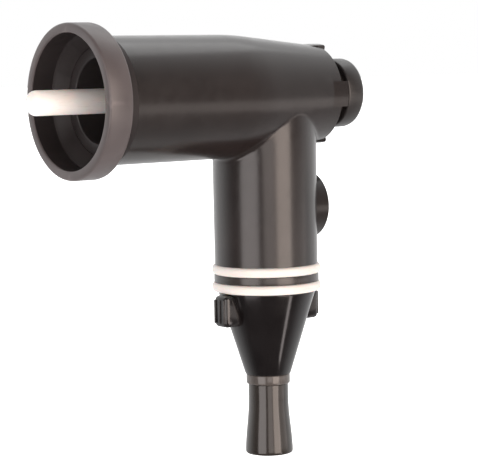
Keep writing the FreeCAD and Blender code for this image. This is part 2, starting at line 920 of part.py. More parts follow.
cell_hole = cylinder("cam_pin_hole", "cam_pin_radius + 0.005", "2", "x_cam_pin", "0", "cell_bore_radius - 0.5", "Z")
cell_body = next(part for part in parts if part.Label == "lens_cell")
parts.remove(cell_body)
cell_body.Label = "lens_cell_blank"
keep(cut("lens_cell_cut", cell_body, cell_hole), "lens_cell")
keep(
    cylinder(
        "cam_pin_rod",
        "cam_pin_radius",
        "cam_pin_tip - cell_bore_radius - 0.1",
        "x_cam_pin",
        "0",
        "cell_bore_radius + 0.1",
        "Z",
    ),
    "cam_pin",
)

# --- air button ------------------------------------------------------------------------------------

BUTTON_AXIS = {"x": "leg_x", "z": "-down_button"}
seat = turned(
    "button_seat",
    "X",
    [
        ("button_floor + 0.02", "stem_radius + fit_gap"),
        ("button_floor + 0.02", "button_bore_radius - fit_gap"),
        ("button_floor + seat_thickness", "button_bore_radius - fit_gap"),
        ("button_floor + seat_thickness", "stem_radius + fit_gap"),
    ],
    **BUTTON_AXIS,
)
vent = extruded(
    seat,
    "Pocket",
    "YZ_Plane",
    "button_floor + seat_thickness + 0.5",
    "seat_thickness + 1",
    lambda sketch: draw_circle(sketch, "0", "vent_circle", "vent_radius"),
    "seat_vent",
)
patterned(seat, vent, "X_Axis", 4, "seat_vents")

CLIP_BACK = "button_floor - 0.25"
button = new_body("air_button")
button_turned = spin(
    button,
    "Revolution",
    "X",
    [
        ("stem_end", "0"),
        ("stem_end", "stem_radius"),
        (f"{CLIP_BACK} - button_clip_thickness - 0.04", "stem_radius"),
        (f"{CLIP_BACK} - button_clip_thickness - 0.04", "stem_radius - 0.3"),
        (f"{CLIP_BACK} + 0.02", "stem_radius - 0.3"),
        (f"{CLIP_BACK} + 0.02", "stem_radius"),
        ("button_reach - button_recess", "stem_radius"),
        ("button_reach - button_recess", "button_skirt_bore"),
        ("button_reach - button_skirt", "button_skirt_bore"),
        ("button_reach - button_skirt", "button_radius"),
        ("button_reach - 1.6", "button_radius"),
        ("button_reach - 1.6", "button_radius - 2 * button_seal_wire"),
        ("button_reach - 1.6 + 2 * button_seal_wire + 0.06", "button_radius - 2 * button_seal_wire"),
        ("button_reach - 1.6 + 2 * button_seal_wire + 0.06", "button_radius"),
        ("button_reach", "button_radius"),
        ("button_reach", "0"),
    ],
    "button_turned",
)
round_rings(button, button_turned, "Fillet", "0.45", [("x", "button_reach", "button_radius")], "button_round")
place(button, **BUTTON_AXIS)
seal_ring(
    "button_seal",
    "button_radius - button_seal_wire",
    "button_seal_wire",
    "leg_x + button_reach - 1.6 + button_seal_wire + 0.03",
    "0",
    "-down_button",
)
snap_clip(
    "button_clip",
    "stem_radius - 0.29",
    "button_clip_radius",
    "button_clip_thickness",
    f"leg_x + {CLIP_BACK} - button_clip_thickness - 0.01",
    "-down_button",
)
coil_spring(
    "button_spring",
    "button_spring_radius",
    "button_spring_wire",
    "button_spring_turns",
    "leg_x + button_floor + seat_thickness + 0.02",
    "leg_x + button_reach - button_recess - 0.02",
    "-down_button",
)

# --- leg end: spigot, two white seals and the spacer between them ----------------------------------

CONE_BORE_SLOPE = "((speculum_top_radius - speculum_wall - cone_bore_radius) / (down_cone_bore - down_speculum))"
SPIGOT_TOP = "speculum_top_radius - speculum_wall - speculum_clearance"
turned(
    "speculum_spigot",
    "Z",
    [
        ("spigot_bore_radius", "-down_spigot_top"),
        ("leg_bore_radius - fit_gap", "-down_spigot_top"),
        ("leg_bore_radius - fit_gap", "-down_leg_end - 0.02"),
        ("spigot_seat_radius", "-down_leg_end - 0.02"),
        ("spigot_seat_radius", "-down_speculum + 0.15"),
        (f"{SPIGOT_TOP}", "-down_speculum + 0.15"),
        (
            f"{SPIGOT_TOP} - (down_spigot_end - down_speculum + 0.15) * {CONE_BORE_SLOPE}",
            "-down_spigot_end",
        ),
        ("spigot_bore_radius", "-down_spigot_end"),
    ],
    x="leg_x",
)


def seal_band(label, top):
    """One white seal: a square-section ring with rounded outer edges, stretched on the spigot."""
    body = new_body(label)
    band = spin(
        body,
        "Revolution",
        "Z",
        [
            ("spigot_seat_radius + 0.01", "0"),
            ("seal_radius", "0"),
            ("seal_radius", "-seal_height"),
            ("spigot_seat_radius + 0.01", "-seal_height"),
        ],
        label + "_band",
    )
    edges = [("z", "0", "seal_radius"), ("z", "-seal_height", "seal_radius")]
    round_rings(body, band, "Fillet", "0.6", edges, label + "_rounds")
    place(body, "leg_x", "0", f"-({top})")


seal_band("upper_seal", "down_leg_end + 0.02")
turned(
    "spacer_ring",
    "Z",
    [
        ("spigot_seat_radius + 0.02", "0"),
        ("spacer_radius", "0"),
        ("spacer_radius", "-spacer_height"),
        ("spigot_seat_radius + 0.02", "-spacer_height"),
    ],
    x="leg_x",
    z="-down_leg_end - seal_height - 0.03",
)
seal_band("lower_seal", "down_leg_end + seal_height + spacer_height + 0.04")

# --- speculum --------------------------------------------------------------------------------------

speculum = new_body("speculum_cone")
spin(
    speculum,
    "Revolution",
    "Z",
    [
        ("speculum_top_radius - speculum_wall", "-down_speculum"),
        ("speculum_top_radius", "-down_speculum"),
        ("cone_end_radius", "-down_cone_end"),
        ("neck_radius", "-down_cone_end"),
        ("neck_radius", "-down_neck_end"),
        ("cone_bore_radius", "-down_neck_end"),
        ("cone_bore_radius", "-down_cone_bore"),
    ],
    "cone_turned",
)
CONE_SLOPE = "((speculum_top_radius - cone_end_radius) / (down_cone_end - down_speculum))"
GRIP_ROOT_TOP = "speculum_top_radius - 0.7"
GRIP_ROOT_END = f"{GRIP_ROOT_TOP} - (down_grip_end - down_grip_top) * {CONE_SLOPE}"


def grip_outline(sketch):
    """A finger lug seen from the side, its outer corners cut back."""
    draw_outline(
        sketch,
        [
            (GRIP_ROOT_TOP, "-down_grip_top"),
            ("grip_radius - grip_top_chamfer", "-down_grip_top"),
            ("grip_radius", "-down_grip_top - grip_top_chamfer"),
            ("grip_radius", "-down_grip_end + grip_end_chamfer"),
            ("grip_radius - grip_end_chamfer", "-down_grip_end"),
            (GRIP_ROOT_END, "-down_grip_end"),
        ],
    )


def rib_outline(sketch, offset):
    """One upright rib on a lug's outer face, seen from the end of the lug."""
    draw_outline(
        sketch,
        [
            ("grip_radius - 0.2", f"({offset}) - grip_rib_width / 2"),
            ("grip_radius + grip_rib", f"({offset}) - grip_rib_width / 2"),
            ("grip_radius + grip_rib", f"({offset}) + grip_rib_width / 2"),
            ("grip_radius - 0.2", f"({offset}) + grip_rib_width / 2"),
        ],
    )


grip = extruded(speculum, "Pad", "XZ_Plane", "0", "grip_width", grip_outline, "grip_lug", midplane=True)
ribs = [
    extruded(
        speculum,
        "Pad",
        "XY_Plane",
        "-down_grip_end + grip_end_chamfer",
        "down_grip_end - down_grip_top - grip_end_chamfer - grip_top_chamfer",
        lambda sketch, offset=offset: rib_outline(sketch, offset),
        name,
    )
    for name, offset in (
        ("grip_rib_near", "-grip_width / 3"),
        ("grip_rib_middle", "0"),
        ("grip_rib_far", "grip_width / 3"),
    )
]
pair = speculum.newObject("PartDesign::PolarPattern", "grip_pair")
pair.Originals = [grip] + ribs
pair.Axis = (next(f for f in speculum.Origin.OriginFeatures if f.Role == "Z_Axis"), [""])
pair.Angle = 360
pair.Occurrences = 2
speculum.Tip = pair
place(speculum, "leg_x")

tip_collar = new_body("tip_collar")
tip_collar_turned = spin(
    tip_collar,
    "Revolution",
    "Z",
    [
        ("neck_radius + 0.02", "-down_cone_end - 0.02"),
        ("tip_collar_radius", "-down_cone_end - 0.02"),
        ("tip_collar_radius", "-down_collar_end"),
        ("neck_radius + 0.02", "-down_collar_end"),
    ],
    "tip_collar_turned",
)
round_rings(
    tip_collar,
    tip_collar_turned,
    "Fillet",
    "0.25",
    [("z", "-down_cone_end - 0.02", "tip_collar_radius"), ("z", "-down_collar_end", "tip_collar_radius")],
    "tip_collar_rounds",
)
place(tip_collar, "leg_x")

soft_tip = new_body("soft_tip")
soft_tip_turned = spin(
    soft_tip,
    "Revolution",
    "Z",
    [
        ("neck_radius + 0.02", "-down_collar_end - 0.02"),
        ("tip_radius", "-down_collar_end - 0.02"),
        ("tip_radius", "-down_flare + 1.5"),
        ("tip_radius + 0.12", "-down_flare - 0.8"),
        ("tip_end_radius - 0.12", "-down_tip_end + 2.4"),
        ("tip_end_radius", "-down_tip_end"),
        ("tip_mouth_radius", "-down_tip_end"),
        ("cone_bore_radius", "-down_neck_end - 1.2"),
        ("cone_bore_radius", "-down_neck_end - 0.05"),
        ("neck_radius + 0.02", "-down_neck_end - 0.05"),
    ],
    "soft_tip_turned",
)
round_rings(
    soft_tip,
    soft_tip_turned,
    "Fillet",
    "0.5",
    [("z", "-down_tip_end", "tip_end_radius"), ("z", "-down_tip_end", "tip_mouth_radius")],
    "soft_tip_rounds",
)
place(soft_tip, "leg_x")

# --- check and write -------------------------------------------------------------------------------

document.recompute()
faults = [item.Name for item in document.Objects if {"Invalid", "Error"} & set(item.State)]
for part in parts:
    if part.Shape.isNull() or not part.Shape.isValid():
        faults.append(part.Label)
if faults:
    raise RuntimeError("failed objects: " + ", ".join(faults))

os.makedirs("parts", exist_ok=True)
for part in parts:
    part.Shape.exportStep(f"parts/{part.Label}.step")
    bounds = part.Shape.BoundBox
    print(
        f"{part.Label:18s} solids {len(part.Shape.Solids)} volume {part.Shape.Volume:9.2f}"
        f"  x {bounds.XMin:7.2f} {bounds.XMax:7.2f}  y {bounds.YMin:7.2f} {bounds.YMax:7.2f}"
        f"  z {bounds.ZMin:7.2f} {bounds.ZMax:7.2f}"
    )
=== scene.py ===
"""Looks of an otoscope head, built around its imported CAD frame.

Everything is in metres and in the frame of the CAD: the origin is the centre of the handle collar's
front face, +X runs along the barrel towards the eyepiece and the speculum points down, along -Z.
"""

import json
import logging
import math
from dataclasses import dataclass
from enum import Enum
from functools import cache
from typing import Sequence

import bmesh
import bpy
from mathutils import Matrix, Vector

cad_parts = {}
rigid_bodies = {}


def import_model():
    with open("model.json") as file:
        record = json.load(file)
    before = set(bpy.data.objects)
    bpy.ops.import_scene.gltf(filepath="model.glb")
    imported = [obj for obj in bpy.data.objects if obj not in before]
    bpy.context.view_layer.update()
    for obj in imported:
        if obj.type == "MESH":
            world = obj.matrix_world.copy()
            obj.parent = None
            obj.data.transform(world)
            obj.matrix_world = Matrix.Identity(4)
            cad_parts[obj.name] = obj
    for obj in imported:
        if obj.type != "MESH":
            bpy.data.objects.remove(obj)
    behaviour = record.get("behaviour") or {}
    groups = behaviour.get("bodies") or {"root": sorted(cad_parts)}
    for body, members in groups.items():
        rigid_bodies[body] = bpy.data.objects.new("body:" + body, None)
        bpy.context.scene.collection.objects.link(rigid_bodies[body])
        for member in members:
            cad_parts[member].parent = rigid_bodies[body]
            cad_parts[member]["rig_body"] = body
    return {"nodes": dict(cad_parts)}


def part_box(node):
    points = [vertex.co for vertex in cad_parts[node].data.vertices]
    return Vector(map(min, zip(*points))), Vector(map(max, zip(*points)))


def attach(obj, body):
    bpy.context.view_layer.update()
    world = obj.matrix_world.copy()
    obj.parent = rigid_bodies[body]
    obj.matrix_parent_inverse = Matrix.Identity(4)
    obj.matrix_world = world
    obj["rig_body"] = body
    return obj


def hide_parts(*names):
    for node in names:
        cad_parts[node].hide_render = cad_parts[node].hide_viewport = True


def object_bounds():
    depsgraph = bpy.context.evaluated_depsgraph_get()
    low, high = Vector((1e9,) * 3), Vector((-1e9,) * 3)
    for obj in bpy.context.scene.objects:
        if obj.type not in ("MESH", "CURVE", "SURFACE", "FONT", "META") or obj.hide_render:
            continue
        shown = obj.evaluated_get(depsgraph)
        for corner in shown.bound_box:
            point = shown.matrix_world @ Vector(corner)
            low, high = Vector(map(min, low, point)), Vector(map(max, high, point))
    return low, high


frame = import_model()
CAD_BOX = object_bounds()

log = logging.getLogger("otoscope")

MM = 0.001
SMOOTH_ANGLE = math.radians(32)
NEAR = 2e-7
Colour = tuple[float, float, float]


class Axis(Enum):
    """The axes that pieces of the head are turned about."""

    BARREL = "barrel"
    BUTTON = "button"
    LEG = "leg"


# ---------------------------------------------------------------- the frame's own places


@cache
def leg_x() -> float:
    """Returns the station along the barrel of the leg's axis: the middle of the spacer ring."""
    low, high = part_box("spacer_ring")
    return (low.x + high.x) / 2


@cache
def button_z() -> float:
    """Returns the height of the air button's axis."""
    low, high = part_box("air_button")
    return (low.z + high.z) / 2


# ---------------------------------------------------------------- finishes


class NodeBoard:
    """A material's node tree, with short calls for the nodes that the finishes are made of."""

    def __init__(self, name: str) -> None:
        """Starts an empty material.

        Args:
            name: The material's name.
        """
        self.material = bpy.data.materials.new(name)
        self.material.use_nodes = True
        self.tree = self.material.node_tree
        self.shader = self.tree.nodes["Principled BSDF"]
        self.place = self.tree.nodes.new("ShaderNodeTexCoord").outputs["Object"]

    def link(self, source: bpy.types.NodeSocket, target: bpy.types.NodeSocket) -> None:
        """Joins an output to an input.

        Args:
            source: The output socket.
            target: The input socket.
        """
        self.tree.links.new(source, target)

    def stretched(self, scale: Sequence[float]) -> bpy.types.NodeSocket:
        """The object's own coordinates, scaled.

        Args:
            scale: How many pattern units there are in a metre along X, Y and Z.

        Returns:
            A vector output.
        """
        mapping = self.tree.nodes.new("ShaderNodeMapping")
        mapping.inputs["Scale"].default_value = scale
        self.link(self.place, mapping.inputs["Vector"])
        return mapping.outputs["Vector"]

    def noise(self, per_metre: float, detail: float = 2.0, vector: bpy.types.NodeSocket | None = None,
              roughness: float = 0.5) -> bpy.types.NodeSocket:
        """A noise pattern.

        Args:
            per_metre: The pattern's scale, about how many blobs there are in a metre.
            detail: How many finer layers it has.
            vector: The coordinates that it reads; the object's own when left out.
            roughness: How strong the finer layers are.

        Returns:
            A factor output from 0 to 1.
        """
        node = self.tree.nodes.new("ShaderNodeTexNoise")
        node.inputs["Scale"].default_value = per_metre
        node.inputs["Detail"].default_value = detail
        node.inputs["Roughness"].default_value = roughness
        self.link(vector or self.place, node.inputs["Vector"])
        return node.outputs["Fac"]

    def spread(self, factor: bpy.types.NodeSocket, low: float, high: float, start: float = 0.3,
               end: float = 0.7) -> bpy.types.NodeSocket:
        """A factor mapped from start..end to low..high and held there.

        Args:
            factor: The incoming value.
            low: The value at start.
            high: The value at end.
            start: Where the change begins.
            end: Where the change ends.

        Returns:
            A value output.
        """
        node = self.tree.nodes.new("ShaderNodeMapRange")
        for socket, value in (("From Min", start), ("From Max", end), ("To Min", low), ("To Max", high)):
            node.inputs[socket].default_value = value
        self.link(factor, node.inputs["Value"])
        return node.outputs["Result"]

    def math(self, operation: str, first: bpy.types.NodeSocket,
             second: bpy.types.NodeSocket | float) -> bpy.types.NodeSocket:
        """One Math node.

        Args:
            operation: The node's operation, such as MULTIPLY.
            first: Its first input.
            second: Its second input, a socket or a number.

        Returns:
            A value output.
        """
        node = self.tree.nodes.new("ShaderNodeMath")
        node.operation = operation
        self.link(first, node.inputs[0])
        if isinstance(second, (int, float)):
            node.inputs[1].default_value = second
        else:
            self.link(second, node.inputs[1])
        return node.outputs[0]

    def blend(self, factor: bpy.types.NodeSocket, first: Colour | bpy.types.NodeSocket,
              second: Colour | bpy.types.NodeSocket) -> bpy.types.NodeSocket:
        """A mix of two colours.

        Args:
            factor: 0 gives the first colour and 1 the second.
            first: A colour, or an output that gives one.
            second: A colour, or an output that gives one.

        Returns:
            A colour output.
        """
        node = self.tree.nodes.new("ShaderNodeMix")
        node.data_type = "RGBA"
        self.link(factor, node.inputs["Factor"])
        for index, colour in ((6, first), (7, second)):
            if isinstance(colour, tuple):
                node.inputs[index].default_value = (*colour, 1)
            else:
                self.link(colour, node.inputs[index])
        return node.outputs[2]

    def tint(self, factor: bpy.types.NodeSocket, first: Colour, second: Colour) -> None:
        """Colours the surface with a pattern of two colours.

        Args:
            factor: The pattern.
            first: The colour where the pattern is low.
            second: The colour where it is high.
        """
        self.link(self.blend(self.spread(factor, 0, 1), first, second), self.shader.inputs["Base Color"])

    def roughen(self, value: bpy.types.NodeSocket) -> None:
        """Gives the surface its roughness.

        Args:
            value: The roughness, as a value output.
        """
        self.link(value, self.shader.inputs["Roughness"])

    def edges(self, low: float, high: float) -> bpy.types.NodeSocket:
        """How much a point stands on an outer edge, from the surface's pointiness.

        Args:
            low: The pointiness where wear begins.
            high: The pointiness where it is full.

        Returns:
            A value output from 0 to 1.
        """
        geometry = self.tree.nodes.new("ShaderNodeNewGeometry")
        return self.spread(geometry.outputs["Pointiness"], 0, 1, low, high)

    def bump(self, height: bpy.types.NodeSocket, depth: float, strength: float = 1.0,
             under: bpy.types.NodeSocket | None = None) -> bpy.types.NodeSocket:
        """A bump made of a height.

        Args:
            height: The height, from 0 to 1.
            depth: How deep the relief is, in metres.
            strength: How much of it shows.
            under: The normal of a bump that this one lies on.

        Returns:
            A normal output.
        """
        node = self.tree.nodes.new("ShaderNodeBump")
        node.inputs["Distance"].default_value = depth
        node.inputs["Strength"].default_value = strength
        self.link(height, node.inputs["Height"])
        if under is not None:
            self.link(under, node.inputs["Normal"])
        return node.outputs["Normal"]

    def fixed(self, **values: float | Colour) -> None:
        """Sets numbers and colours that are the same all over the surface on the shader's own sockets.

        Args:
            values: Socket names in lower case with underscores, and what each is set to.
        """
        for words, value in values.items():
            socket = self.shader.inputs[words.replace("_", " ").title().replace("Ior", "IOR")]
            socket.default_value = (*value, 1) if isinstance(value, tuple) else value


@dataclass(frozen=True)
class MouldedPlastic:
    """Injection-moulded plastic with a fine spark-eroded grain, faint flow shading and polished edges."""

    name: str
    colour: Colour
    roughness: float
    grain_depth: float = 1.6e-6
    grain_per_metre: float = 2600.0
    mottle: float = 0.18
    edge_lift: float = 0.5
    specular: float = 0.5
    ripple_depth: float = 14e-6

    def material(self) -> bpy.types.Material:
        """Returns the finish as a material."""
        board = NodeBoard(self.name)
        lighter = tuple(min(1.0, c * (1 + self.mottle) + 0.002) for c in self.colour)
        darker = tuple(c * (1 - self.mottle) for c in self.colour)
        worn = tuple(min(1.0, c * (1 + self.edge_lift) + 0.012 * self.edge_lift) for c in self.colour)
        flow = board.noise(90, 3, board.stretched((0.45, 1, 0.7)))
        handled = board.noise(420, 5)
        body = board.blend(board.spread(flow, 0, 1), darker, lighter)
        edge = board.math("MULTIPLY", board.edges(0.52, 0.6), board.spread(handled, 0.35, 1, 0.35, 0.6))
        skin = board.blend(edge, body, worn)
        board.link(skin, board.shader.inputs["Base Color"])
        board.roughen(board.spread(handled, self.roughness * 0.88, self.roughness * 1.14))
        grain = board.noise(self.grain_per_metre, 3, roughness=0.6)
        ripple = board.bump(board.noise(160, 2), self.ripple_depth, 0.3)
        board.link(board.bump(grain, self.grain_depth * 4, 0.4, ripple), board.shader.inputs["Normal"])
        board.fixed(specular_ior_level=self.specular, ior=1.5)
        return board.material


@dataclass(frozen=True)
class SoftRubber:
    """Silicone or rubber: a slightly dusty skin with a soft sheen and a fine matt texture."""

    name: str
    colour: Colour
    roughness: float
    under_skin: float = 0.0
    sheen: float = 0.15
    speck_depth: float = 9e-6

    def material(self) -> bpy.types.Material:
        """Returns the finish as a material."""
        board = NodeBoard(self.name)
        shade = tuple(c * 0.93 for c in self.colour)
        cloud = board.noise(260, 4)
        board.tint(cloud, shade, self.colour)
        speck = board.noise(5200, 2)
        board.roughen(board.spread(speck, self.roughness * 0.9, self.roughness * 1.12))
        board.link(board.bump(speck, self.speck_depth, 0.4), board.shader.inputs["Normal"])
        board.fixed(sheen_weight=self.sheen, sheen_roughness=0.4)
        if self.under_skin:
            board.fixed(subsurface_weight=self.under_skin, subsurface_scale=0.0012)
        return board.material


@dataclass(frozen=True)
class TurnedMetal:
    """Machined metal with the fine rings that a lathe leaves across the barrel's axis."""

    name: str
    colour: Colour
    roughness: float
    rings_per_metre: float = 9000.0
    ring_roughness: float = 0.16
    ring_depth: float = 4e-6

    def material(self) -> bpy.types.Material:
        """Returns the finish as a material."""
        board = NodeBoard(self.name)
        rings = board.noise(1, 3, board.stretched((self.rings_per_metre, 60, 60)))
        tarnish = board.noise(340, 4)
        dull = tuple(c * 0.72 for c in self.colour)
        board.tint(tarnish, dull, self.colour)
        worn = board.spread(tarnish, self.roughness, self.roughness * 1.3)
        board.roughen(board.math("ADD", board.spread(rings, 0, self.ring_roughness), worn))
        board.link(board.bump(rings, self.ring_depth, 0.5), board.shader.inputs["Normal"])
        board.fixed(metallic=1.0)
        return board.material


@dataclass(frozen=True)
class ClearPart:
    """Glass or clear acrylic with the faintest smudges."""

    name: str
    colour: Colour
    index: float = 1.5
    passes: float = 1.0
    roughness: float = 0.02

    def material(self) -> bpy.types.Material:
        """Returns the finish as a material."""
        board = NodeBoard(self.name)
        smudge = board.noise(520, 4)
        board.roughen(board.spread(smudge, self.roughness, self.roughness * 3 + 0.02, 0.5, 0.8))
        tint = tuple(c * 0.96 for c in self.colour)
        board.tint(smudge, self.colour, tint)
        board.fixed(transmission_weight=self.passes, ior=self.index)
        return board.material


@dataclass(frozen=True)
class OpalAcrylic:
    """The milky acrylic of the light guide: cloudy inside, with a buffed skin and fine rubbing marks."""

    name: str
    colour: Colour
    roughness: float

    def material(self) -> bpy.types.Material:
        """Returns the finish as a material."""
        board = NodeBoard(self.name)
        cloud = board.noise(380, 4, board.stretched((0.35, 1, 1)))
        warm = (self.colour[0] * 0.97, self.colour[1] * 0.945, self.colour[2] * 0.925)
        board.tint(cloud, warm, self.colour)
        rub = board.noise(1, 2, board.stretched((420, 5200, 5200)))
        board.roughen(board.spread(rub, self.roughness * 0.8, self.roughness * 1.35))
        board.link(board.bump(rub, 5e-6, 0.4), board.shader.inputs["Normal"])
        board.fixed(subsurface_weight=0.35, subsurface_scale=0.002)
        return board.material


Finish = MouldedPlastic | SoftRubber | TurnedMetal | ClearPart | OpalAcrylic

HOUSING = MouldedPlastic("satin_housing_plastic", (0.0085, 0.006, 0.0055), 0.23, 0.7e-6, edge_lift=0.0)
COLLAR = MouldedPlastic("blasted_collar_plastic", (0.044, 0.035, 0.035), 0.38, 3.2e-6, 2100.0)
# The recess plastic is the collar's plastic darkened, with weaker specular: painted shade for the inside
# of the collar's recess.
RECESS_PAINTED_SHADE = MouldedPlastic("recess_painted_shade_plastic", (0.014, 0.011, 0.011), 0.42, specular=0.16, edge_lift=0.0)
# The socket plastic is the collar's plastic darkened: painted shade for the sleeve's deep bore and ledge.
# The button seat wears the same darkened plastic.
SOCKET_PAINTED_SHADE = MouldedPlastic("socket_plastic", (0.012, 0.0095, 0.0095), 0.42, 3.2e-6, 2100.0)
KNOB = MouldedPlastic("knob_plastic", (0.008, 0.0062, 0.0058), 0.34)
SPACER = MouldedPlastic("spacer_plastic", (0.014, 0.011, 0.01), 0.24)
SPECULUM = MouldedPlastic("polished_speculum_plastic", (0.0022, 0.0014, 0.0015), 0.13, 0.8e-6)
TIP_COLLAR = MouldedPlastic("gloss_collar_plastic", (0.04, 0.034, 0.031), 0.16, 0.6e-6)
SOFT_TIP = MouldedPlastic("gloss_tip_elastomer", (0.012, 0.0095, 0.008), 0.15, 0.6e-6)
BUTTON = SoftRubber("button_rubber", (0.028, 0.025, 0.024), 0.5)
BLACK_RUBBER = SoftRubber("black_rubber", (0.02, 0.019, 0.019), 0.5)
SEAL = SoftRubber("white_silicone", (0.47, 0.445, 0.42), 0.42, 0.25, 0.1)
GUIDE = OpalAcrylic("opal_acrylic", (0.59, 0.57, 0.55), 0.32)
BRASS = TurnedMetal("nickelled_bush_brass", (0.62, 0.55, 0.42), 0.3)
SCREW_STEEL = TurnedMetal("blackened_screw_steel", (0.1, 0.098, 0.1), 0.34)
SPRING_STEEL = TurnedMetal("spring_steel", (0.55, 0.54, 0.53), 0.26, 4000.0)
ALUMINIUM = TurnedMetal("black_anodised_mount", (0.05, 0.05, 0.055), 0.38)
MIRROR = TurnedMetal("silvered_mirror", (0.9, 0.91, 0.92), 0.03, 400.0)
CLEAR_ACRYLIC = ClearPart("clear_acrylic", (0.97, 0.985, 0.98), 1.49)
LENS_GLASS = ClearPart("coated_lens_glass", (0.95, 0.98, 0.99), 1.52)
WINDOW_GLASS = ClearPart("window_glass", (0.97, 0.98, 0.985), 1.52)
PTFE = MouldedPlastic("washer_ptfe", (0.75, 0.74, 0.72), 0.45)

# ---------------------------------------------------------------- the studio


@dataclass(frozen=True)
class Softbox:
    """A soft rectangular light that faces the head."""

    name: str
    azimuth: float
    elevation: float
    distance: float
    width: float
    height: float
    power: float
    colour: Colour = (1.0, 1.0, 1.0)

    def place(self, centre: Vector) -> bpy.types.Object:
        """Sets the light up.

        Args:
            centre: The point that it faces.

        Returns:
            The light's object.
        """
        towards = direction(self.azimuth, self.elevation)
        bpy.ops.object.light_add(type="AREA", location=centre + towards * self.distance)
        box = bpy.context.object
        box.name = self.name
        box.rotation_euler = towards.to_track_quat("Z", "Y").to_euler()
        box.data.shape = "RECTANGLE"
        box.data.size = self.width
        box.data.size_y = self.height
        box.data.energy = self.power
        box.data.color = self.colour
        box.visible_camera = False
        return box


def direction(azimuth: float, elevation: float) -> Vector:
    """A unit vector away from the head.

    Args:
        azimuth: Degrees round from straight in front of the barrel's side, towards the eyepiece.
        elevation: Degrees above the horizontal.

    Returns:
        The unit vector.
    """
    turn, lift = math.radians(azimuth), math.radians(elevation)
    return Vector((math.sin(turn) * math.cos(lift), -math.cos(turn) * math.cos(lift), math.sin(lift)))


@dataclass
class Studio:
    """The camera, the lights and the pale floor."""

    azimuth: float = -36.7
    elevation: float = 5.22
    roll: float = -1.07
    distance: float = 0.40437
    lens: float = 150.07
    aim_right: float = -5.63 * MM
    aim_up: float = -28.14 * MM
    shift: tuple[float, float] = (0.0072, -0.0064)
    floor_gap: float = 34 * MM
    floor_size: float = 12.0
    backdrop: float = 1.25
    room: float = 0.17
    underside: float = 0.7
    lights: tuple[Softbox, ...] = (
        Softbox("left_softbox", -72.7, 4, 0.62, 0.46, 0.7, 3.5, (1.0, 0.93, 0.91)),
        Softbox("right_softbox", 3.5, 6, 0.62, 0.38, 0.7, 4.6, (1.0, 0.85, 0.76)),
        Softbox("front_softbox", -29, 6, 0.8, 0.36, 0.7, 1.8, (1.0, 0.9, 0.85)),
        Softbox("low_strip", 38, -9, 0.3, 0.26, 0.08, 0.08, (1.0, 0.9, 0.85)),
        Softbox("top_softbox", 143, 66, 0.62, 0.6, 0.4, 0.9),
        Softbox("cone_strip", 24, -34, 0.5, 0.06, 0.25, 0.2, (1.0, 0.9, 0.88)),
    )

    def build(self) -> None:
        """Sets up the camera, the lights, the surroundings and the floor."""
        low, _ = CAD_BOX
        crossing = Vector((leg_x(), 0, 0))
        self.place_camera(crossing)
        for light in self.lights:
            light.place(crossing + Vector((0, 0, self.aim_up)))
        self.surround()
        self.lay_floor(low[2] - self.floor_gap)
        bpy.context.scene.view_settings.view_transform = "Standard"

    def place_camera(self, crossing: Vector) -> None:
        """Puts the camera in its place.

        Args:
            crossing: Where the leg's axis meets the barrel's.
        """
        back = direction(self.azimuth, self.elevation)
        level = Vector((0, 0, 1)).cross(back).normalized()
        upright = back.cross(level)
        roll = math.radians(self.roll)
        right = level * math.cos(roll) + upright * math.sin(roll)
        up = upright * math.cos(roll) - level * math.sin(roll)
        bpy.ops.object.camera_add()
        camera = bpy.context.object
        camera.name = "camera"
        eye = crossing + right * self.aim_right + up * self.aim_up + back * self.distance
        camera.matrix_world = Matrix.Translation(eye) @ Matrix((right, up, back)).transposed().to_4x4()
        camera.data.sensor_width = 36
        camera.data.lens = self.lens
        camera.data.shift_x, camera.data.shift_y = self.shift
        camera.data.clip_start = 0.01
        bpy.context.scene.camera = camera

    def surround(self) -> None:
        """Makes the room: bright behind the head, dimmer in front and below, white to the camera."""
        world = bpy.data.worlds.new("white_room")
        world.use_nodes = True
        tree = world.node_tree
        towards_camera = direction(self.azimuth, 0)
        place = tree.nodes.new("ShaderNodeTexCoord").outputs["Generated"]
        facing = self.along(tree, place, towards_camera)
        height = self.along(tree, place, Vector((0, 0, 1)))
        sides = self.ramp(tree, facing, -0.45, 0.35, self.backdrop, self.room)
        below = self.ramp(tree, height, -0.35, -0.05, self.underside, 1.0)
        product = tree.nodes.new("ShaderNodeMath")
        product.operation = "MULTIPLY"
        tree.links.new(sides, product.inputs[0])
        tree.links.new(below, product.inputs[1])
        seen = tree.nodes.new("ShaderNodeMix")
        path = tree.nodes.new("ShaderNodeLightPath")
        tree.links.new(path.outputs["Is Camera Ray"], seen.inputs["Factor"])
        tree.links.new(product.outputs[0], seen.inputs["A"])
        seen.inputs["B"].default_value = 1.0
        tree.links.new(seen.outputs["Result"], tree.nodes["Background"].inputs["Strength"])
        tree.nodes["Background"].inputs["Color"].default_value = (1, 1, 1, 1)
        bpy.context.scene.world = world

    @staticmethod
    def along(tree: bpy.types.NodeTree, place: bpy.types.NodeSocket, way: Vector) -> bpy.types.NodeSocket:
        """How far a direction of the room points a given way.

        Args:
            tree: The world's node tree.
            place: The direction, as a vector output.
            way: The unit vector that it is measured along.

        Returns:
            A value output from -1 to 1.
        """
        node = tree.nodes.new("ShaderNodeVectorMath")
        node.operation = "DOT_PRODUCT"
        node.inputs[1].default_value = way
        tree.links.new(place, node.inputs[0])
        return node.outputs["Value"]

    @staticmethod
    def ramp(tree: bpy.types.NodeTree, value: bpy.types.NodeSocket, start: float, end: float, low: float,
             high: float) -> bpy.types.NodeSocket:
        """A smooth change from low to high as a value goes from start to end.

        Args:
            tree: The world's node tree.
            value: The incoming value.
            start: Where the change begins.
            end: Where it ends.
            low: The result before start.
            high: The result after end.

        Returns:
            A value output.
        """
        node = tree.nodes.new("ShaderNodeMapRange")
        node.interpolation_type = "SMOOTHSTEP"
        for socket, number in (("From Min", start), ("From Max", end), ("To Min", low), ("To Max", high)):
            node.inputs[socket].default_value = number
        tree.links.new(value, node.inputs["Value"])
        return node.outputs["Result"]

